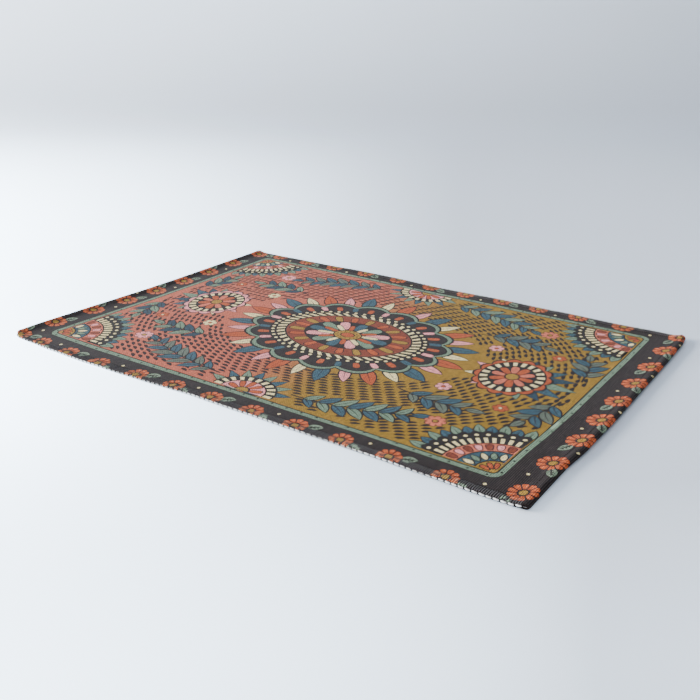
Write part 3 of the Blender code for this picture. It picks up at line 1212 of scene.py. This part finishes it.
def overlock(side, lookup, colours, name):
    """Thread over one long edge: ribs across the band, a needle line and pale dashes outside."""
    work = ThreadWork(Vector((0, side, 0)))
    chance = random.Random(5 + side)
    reach = HALF_LENGTH - OVERLOCK_END_GAP

    def at(x, inset, z):
        return settle(x, side * (HALF_WIDTH - inset), z + hem_rise(x) * (0.35 + 0.65 * ease((z - 0.8) / 2.0)))

    def dye_at(x, inset, strength):
        return printed_at(lookup, colours, x, side * (HALF_WIDTH - inset), strength)

    def rolled_at(x):
        return 1 - (paleness(x) if side < 0 else 1.0)

    def rib(x, rolled):
        """Thread from the needle line over the band and round the edge."""
        root = 12.9 + chance.uniform(-0.3, 0.3)
        wrap = [(root, 2.72), (10.0, 2.98), (5.5, 3.04), (2.4, 3.00), (1.0, 2.84)]
        wrap += [(0.35 - 0.3 * rolled, 2.60), (0.15 - 0.4 * rolled, 2.30 - 1.6 * rolled)]
        path = [at(x + 0.10 * step, inset, z) for step, (inset, z) in enumerate(wrap)]
        dyes = [dye_at(x, max(inset, 1.2), 0.82 + 0.26 * chance.random()) for inset, z in wrap]
        # Painted shade on the rib flanks, down to a tenth of the dye, and a painted highlight that doubles
        # the tops.
        work.strand(path, RIB_ACROSS, RIB_UP, dyes, 8, 0.10, 2.0, 0.095)

    def needle(x):
        """Short stitch of the needle line."""
        path = [at(x + ahead, NEEDLE_IN, z) for ahead, z in ((0.2, 2.95), (1.2, 3.22), (2.2, 2.95))]
        tint = dye_at(x, NEEDLE_IN, 0.6)
        work.strand(path, [0.0003, 0.0004, 0.0003], [0.00025, 0.00035, 0.00025], [tint] * 3, 5)

    def under(x):
        """White thread below the band."""
        path = [at(x, 0.6, 0.42), at(x + 0.6, 5.0, 0.30), at(x + 1.2, 11.0, 0.34)]
        work.strand(path, [0.0005, 0.0006, 0.0004], [0.00028] * 3, [WHITE_YARN] * 3, 5)

    def sole(x):
        """Dark thread along the foot of the edge, which also stands in for painted shadow where the edge
        meets the floor.
        """
        path = [at(x - 0.3, -0.55, 0.62), at(x + 1.5, -0.75, 0.50), at(x + RIB_PITCH + 0.3, -0.55, 0.62)]
        work.strand(path, [0.0006, 0.0008, 0.0006], [0.00042, 0.00052, 0.00042], [INK] * 3)

    def dash(x, rolled):
        """Pale dash on the edge, sunk and thinner where the edge is rolled down."""
        half = 3.85 * (0.95 + 0.08 * chance.random())
        pale = 1 - rolled
        path = []
        for step in range(7):
            t = step / 3 - 1
            path.append(at(x + half * t, -0.30 - 0.85 * pale * (1 - t * t), 2.08 - 0.30 * t - rolled))
        work.strand(path, DASH_ACROSS, [up * (0.45 + 0.55 * pale) for up in DASH_UP], [WHITE_YARN] * 7, 8)

    def bar(x):
        """Dark thread round the edge between two dashes."""
        route = ((-0.7, 0.45, 3.15), (-0.4, -0.95, 2.6), (0.2, -1.35, 1.4), (0.6, -0.6, 0.2))
        path = [at(x + ahead, inset, z) for ahead, inset, z in route]
        work.strand(path, [0.0007, 0.00092, 0.00092, 0.0007], [0.0006, 0.0007, 0.0007, 0.0006], [INK] * 4)

    for index in range(int(2 * reach / RIB_PITCH) + 1):
        x = -reach + RIB_PITCH * index + chance.uniform(-0.18, 0.18)
        rib(x, rolled_at(x))
        needle(x)
        if index % 2 == 0:
            under(x)
        sole(x)
    for index in range(int(2 * reach / DASH_PITCH) + 1):
        x = -reach + 2 + DASH_PITCH * index + chance.uniform(-0.4, 0.4)
        dash(x, rolled_at(x))
        bar(x + DASH_PITCH / 2)
    return work.sew(name)


def hem_stitches(lookup, colours):
    """Line of stitching along each end hem."""
    work = ThreadWork(Vector((1, 0, 0)))
    chance = random.Random(23)
    run = 0.0
    for low, high in zip(HEM_ROWS, HEM_ROWS[1:]):
        if high[1] <= HEM_STITCH_IN:
            run = low[0] + (high[0] - low[0]) * (low[1] - HEM_STITCH_IN) / (low[1] - high[1])
            break
    line = WIDTH - 2 * HEM_STITCH_GAP
    for side in (-1, 1):
        a = side * (FLAT_START + run)
        work.outward = Vector((side, 0, 0))
        for index in range(int(line / HEM_STITCH_PITCH) + 1):
            y = -line / 2 + HEM_STITCH_PITCH * index
            x, _, z = face_raw(a, y)
            path = []
            for step in range(5):
                t = step / 2 - 1
                aside = side * 0.1 * chance.uniform(-1, 1)
                path.append(settle(x + aside, y + 1.75 * t, z + 0.36 * (1 - t * t) - 0.12))
            work.strand(path, STITCH_ACROSS, STITCH_UP, [printed_at(lookup, colours, a, y, 0.72)] * 5)
    return work.sew("hem_stitches")


class Fibre:
    """One socket of a shader; sums and products of it add the nodes they need."""

    def __init__(self, finish, socket):
        self.finish = finish
        self.socket = socket

    def _sum(self, kind, one, other):
        return self.finish.node("ShaderNodeMath", {"operation": kind}, [one, other])

    def __add__(self, other):
        return self._sum("ADD", self, other)

    def __radd__(self, other):
        return self._sum("ADD", other, self)

    def __sub__(self, other):
        return self._sum("SUBTRACT", self, other)

    def __rsub__(self, other):
        return self._sum("SUBTRACT", other, self)

    def __mul__(self, other):
        return self._sum("MULTIPLY", self, other)

    def __truediv__(self, other):
        return self._sum("DIVIDE", self, other)

    def __pow__(self, other):
        return self._sum("POWER", self, other)


class Finish:
    """Material of one kind of yarn or surface."""

    def __init__(self, name):
        self.material = bpy.data.materials.new(name)
        self.material.use_nodes = True
        self.tree = self.material.node_tree
        self.shader = self.tree.nodes["Principled BSDF"]

    def node(self, kind, settings=None, inputs=None, output=0):
        """A node with its settings made first, then its values and links; gives one output."""
        made = self.tree.nodes.new(kind)
        for name, value in (settings or {}).items():
            setattr(made, name, value)
        pairs = inputs.items() if isinstance(inputs, dict) else enumerate(inputs or [])
        for name, value in pairs:
            if isinstance(value, Fibre):
                self.tree.links.new(value.socket, made.inputs[name])
            else:
                made.inputs[name].default_value = value
        return Fibre(self, made.outputs[output])

    def parts(self, place):
        """First two parts of a place."""
        first = self.node("ShaderNodeSeparateXYZ", None, [place])
        return first, Fibre(self, first.socket.node.outputs[1])

    def mix(self, share, one, other, kind="MIX"):
        """Mixed colour."""
        settings = {"data_type": "RGBA", "blend_type": kind}
        return self.node("ShaderNodeMix", settings, {0: share, 6: one, 7: other}, 2)

    def darken(self, colour, shade):
        """Colour times a shade of grey."""
        grey = self.node("ShaderNodeCombineColor", None, [shade, shade, shade])
        return self.mix(1.0, colour, grey, "MULTIPLY")

    def noise(self, place, scale, detail, roughness=0.5):
        """Uneven value round 0.5."""
        return self.node("ShaderNodeTexNoise", None,
                         {"Vector": place, "Scale": scale, "Detail": detail, "Roughness": roughness})

    def stretched_noise(self, x, y, detail):
        """Uneven value round 0.5 at a place given in grains of the noise."""
        return self.noise(self.node("ShaderNodeCombineXYZ", None, [x, y]), 1.0, detail, 0.6)

    def wave(self, place, pitch, phase):
        """Even ridge from 0 to 1 with a pitch in metres."""
        turn = self.node("ShaderNodeMath", {"operation": "SINE"}, [place * (TAU / pitch) + phase])
        return turn * 0.5 + 0.5

    def remap(self, value, start, end, low, high, kind="LINEAR"):
        """Value that goes from low to high between a start and an end, and stays there beyond them."""
        settings = {"clamp": True, "interpolation_type": kind}
        return self.node("ShaderNodeMapRange", settings, [value, start, end, low, high])

    def feed(self, name, fibre):
        """Varying value of the shader."""
        self.tree.links.new(fibre.socket, self.shader.inputs[name])

    def yarn(self, colour, roughness, relief, strength, distance):
        """Colour, roughness and relief of a yarn."""
        self.feed("Base Color", colour)
        self.feed("Roughness", roughness)
        bump = {"Strength": strength, "Distance": distance, "Height": relief}
        self.feed("Normal", self.node("ShaderNodeBump", None, bump))

    def set(self, **values):
        """Even values of the shader."""
        for name, value in values.items():
            self.shader.inputs[name.replace("_", " ")].default_value = value


def printed_weave():
    """Matte printed polyester: ribs across the rug, fine yarn grain and uneven ink, with painted shade in the
    rib grooves and a painted highlight on the rib crests.
    """
    finish = Finish("printed_weave")
    cloth = finish.node("ShaderNodeUVMap", {"uv_map": "cloth"})
    length, width = finish.parts(cloth)
    wander = finish.noise(cloth, 60.0, 2.0)
    flecks = finish.noise(cloth, 1100.0, 3.0, 0.7)
    yarn = finish.noise(cloth, 260.0, 4.0, 0.6)
    cloudy = finish.noise(cloth, 9.0, 3.0)
    ribs = finish.wave(length, 0.0026, wander * 5.0)
    picks = finish.wave(width + length * 0.5, 0.00135, wander * 3.0)
    twill = finish.wave(length + width, 0.0041, yarn * 4.0)
    streaks = finish.stretched_noise(length * 400.0, width * 45.0, 2.0)
    grains = finish.stretched_noise(length * 470.0, width * 250.0 + length * 130.0, 1.5)
    # The dye is darkened in the grooves between ribs, picks and twill as painted shade, and varied at random
    # by flecks, yarn, grains, clouds and streaks.
    shade = 0.385 + ribs * 0.54 + picks * 0.16 + twill * 0.24
    shade = shade + (flecks - 0.5) * 0.60 + (yarn - 0.5) * 0.80 + (grains - 0.5) * 1.35
    shade = shade + (cloudy - 0.5) * 0.16 + (streaks - 0.5) * 0.85
    ink = finish.node("ShaderNodeAttribute", {"attribute_name": "dye"})
    # Rib crests and raised flecks are mixed toward pale grey: a painted highlight on the tops of the weave.
    crest = ribs * 0.42 + flecks * 0.20 + streaks * 0.36 + grains * 0.26
    ink_with_crest_highlight = finish.mix(crest ** 5.0 * 0.102, finish.darken(ink, shade * 0.89), dye(0.56, 0.50, 0.46))
    relief = ribs * 0.55 + picks * 0.22 + flecks * 0.35 + twill * 0.12
    finish.yarn(ink_with_crest_highlight, 0.86 + (yarn - 0.5) * 0.2, relief, 0.6, 0.00045)
    finish.set(Sheen_Weight=0.04, Sheen_Roughness=0.45, Specular_IOR_Level=0.09)
    return finish.material


def woven_back():
    """Plain white weave of the back and the cut edge."""
    finish = Finish("woven_back")
    cloth = finish.node("ShaderNodeUVMap", {"uv_map": "cloth"})
    length, width = finish.parts(cloth)
    wander = finish.noise(cloth, 70.0, 2.0)
    flecks = finish.noise(cloth, 900.0, 3.0, 0.7)
    cloudy = finish.noise(cloth, 12.0, 3.0)
    ribs = finish.wave(length, 0.0027, wander * 4.0)
    picks = finish.wave(width, 0.0016, wander * 3.0)
    # The white is darkened in the grooves between ribs and picks as painted shade, and varied at random by
    # flecks and clouds.
    shade = 0.70 + ribs * 0.16 + picks * 0.10 + (flecks - 0.5) * 0.22 + (cloudy - 0.5) * 0.14
    ink = finish.node("ShaderNodeAttribute", {"attribute_name": "dye"})
    relief = ribs * 0.5 + picks * 0.35 + flecks * 0.3
    finish.yarn(finish.darken(ink, shade), 0.84 + (flecks - 0.5) * 0.2, relief, 0.6, 0.0005)
    finish.set(Sheen_Weight=0.08, Sheen_Roughness=0.5, Specular_IOR_Level=0.15)
    return finish.material


def edge_thread():
    """Soft textured polyester thread of the overlock and the hem stitches."""
    finish = Finish("edge_thread")
    place = finish.node("ShaderNodeTexCoord", None, None, OBJECT_PLACE)
    strands = finish.noise(place, 1500.0, 3.0, 0.65)
    uneven = finish.noise(place, 120.0, 2.0)
    shade = 0.88 + (strands - 0.5) * 0.5 + (uneven - 0.5) * 0.3
    ink = finish.node("ShaderNodeAttribute", {"attribute_name": "dye"})
    finish.yarn(finish.darken(ink, shade), 0.74 + (strands - 0.5) * 0.3, strands, 0.5, 0.0003)
    finish.set(Sheen_Weight=0.05, Sheen_Roughness=0.4, Specular_IOR_Level=0.12)
    return finish.material


def studio_floor():
    """Pale floor that sweeps up into a wall."""
    profile = [(-6.0, 0.0)]
    for index in range(13):
        t = index / 12 * TAU / 4
        profile.append((3.6 + 1.3 * math.sin(t), 1.3 - 1.3 * math.cos(t)))
    profile.append((4.9, 7.0))
    points = []
    faces = []
    for index, (away, height) in enumerate(profile):
        for side in (-9.0, 9.0):
            points.append(CAMERA_AT + AHEAD * away + RIGHTWARD * side)
            points[-1].z = height
        if index:
            faces.append((2 * index - 2, 2 * index - 1, 2 * index + 1, 2 * index))
    return new_piece("studio_floor", points, faces)


def paper_with_painted_glow():
    """Matte paper with painted light: an emission glow painted on the floor, strongest at the left towards
    the lamp, and on the wall; the base colour is darker farther away as painted shade.
    """
    finish = Finish("paper_with_painted_glow")
    place = finish.node("ShaderNodeTexCoord", None, None, OBJECT_PLACE)
    x, y = finish.parts(place)
    across = x * AHEAD_Y - y * AHEAD_X
    away = y * AHEAD_Y + x * AHEAD_X + CAMERA_BACK
    mottle = finish.noise(place, 1.2, 2.0)
    paper = finish.mix(mottle, dye(0.775, 0.835, 0.925), dye(0.805, 0.865, 0.955))
    # Painted shade: the paper's colour is darker farther from the camera and lighter again up the wall.
    painted_far_shade = finish.remap(away, 1.0, 3.3, 0.0, 0.19)
    painted_wall_light = finish.remap(away, 4.0, 5.0, 0.0, 0.15)
    finish.feed("Base Color", finish.darken(paper, 1.0 - painted_far_shade + painted_wall_light))

    # Painted light: an emission glow on the floor that is strongest to the left towards the lamp and fades
    # away from the camera, evener near the camera and in the near corner, and weaker on the wall.
    depth = finish.node("ShaderNodeMath", {"operation": "MAXIMUM"}, [away * 0.925 + 0.192, 0.4])
    sideways = across / depth
    painted_lamp_glow = finish.remap(sideways, 0.14, -0.43, 0.0, 1.20) ** 1.6
    painted_even_glow = finish.remap(sideways, 0.30, -0.40, 0.0, 0.63)
    front = finish.remap(away, 0.62, 1.15, 1.0, 0.0, "SMOOTHSTEP")
    corner = finish.remap(away, 0.56, 0.85, 0.085, 0.0)
    fading = finish.remap(away, 1.9, 4.2, 1.0, 0.05, "SMOOTHSTEP")
    ahead = finish.remap(away, -0.9, 0.5, 0.0, 1.0, "SMOOTHSTEP")
    wall = finish.remap(away, 3.9, 5.4, 0.0, 0.10, "SMOOTHSTEP")
    wall_right = finish.remap(across, 1.6, -0.1, 0.45, 1.15)
    wall_left = finish.remap(across, -2.2, -0.9, 0.40, 1.0)
    painted_floor_glow = painted_lamp_glow * fading * (1.0 - front) + painted_even_glow * front + corner
    painted_glow = painted_floor_glow * ahead + wall * wall_right * wall_left
    tinted = finish.node("ShaderNodeCombineColor", None, [painted_glow * 0.70, painted_glow * 0.87, painted_glow * 1.04])
    finish.feed("Emission Color", tinted)
    finish.set(Roughness=0.9, Specular_IOR_Level=0.1, Emission_Strength=6.4)
    return finish.material


def softbox(name, at, aim, size, power, colour):
    """Rectangular lamp pointed at a place."""
    light = bpy.data.lights.new(name, "AREA")
    light.shape = "RECTANGLE"
    light.size, light.size_y = size
    light.energy = power
    light.color = colour
    lamp = bpy.data.objects.new(name, light)
    lamp.location = at
    lamp.rotation_euler = (Vector(aim) - Vector(at)).to_track_quat("-Z", "Y").to_euler()
    bpy.context.scene.collection.objects.link(lamp)


def studio():
    """Floor, soft light from the left, and the camera."""
    floor = studio_floor()
    floor.data.materials.append(paper_with_painted_glow())

    world = bpy.data.worlds.new("studio_air")
    bpy.context.scene.world = world
    world.use_nodes = True
    air = world.node_tree.nodes["Background"].inputs
    air["Color"].default_value = dye(0.80, 0.87, 0.98)
    air["Strength"].default_value = 0.375

    low_left = AHEAD * 0.9 - RIGHTWARD * 6.0 + Vector((0, 0, 1.8))
    softbox("low_left_softbox", low_left, (0.1, 0, 0), (2.4, 2.0), 1070.0, (1.0, 0.985, 0.965))
    softbox("top_softbox", (0.2, 0.6, 3.2), (0, 0, 0), (2.6, 2.6), 29.0, (0.95, 0.98, 1.0))
    front = Vector((0, 0, 0.45)) - AHEAD * 3.2 - RIGHTWARD * 0.6
    softbox("front_softbox", front, (0, -0.1, 0), (2.4, 0.6), 31.0, (0.97, 0.985, 1.0))

    camera = bpy.data.objects.new("photo_camera", bpy.data.cameras.new("photo_camera"))
    camera.data.lens = 43.64
    camera.data.sensor_width = 36.0
    camera.data.clip_start = 0.02
    camera.location = CAMERA_AT
    aim = AHEAD * math.cos(CAMERA_PITCH) - Vector((0, 0, math.sin(CAMERA_PITCH)))
    camera.rotation_euler = aim.to_track_quat("-Z", "Y").to_euler()
    bpy.context.scene.collection.objects.link(camera)
    bpy.context.scene.camera = camera


studio()
print_cloth()
printed_cloth, print_lookup, print_colours = weave_cloth()
printed_cloth.data.materials.append(printed_weave())
printed_cloth.data.materials.append(woven_back())
near_overlock = overlock(-1, print_lookup, print_colours, "near_overlock")
far_overlock = overlock(1, print_lookup, print_colours, "far_overlock")
end_stitches = hem_stitches(print_lookup, print_colours)
thread_finish = edge_thread()
for piece in (near_overlock, far_overlock, end_stitches):
    piece.data.materials.append(thread_finish)

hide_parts("rug_cloth")
for piece in (printed_cloth, near_overlock, far_overlock, end_stitches):
    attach(piece, "root")
2 * HALF_CLOTH / 1000
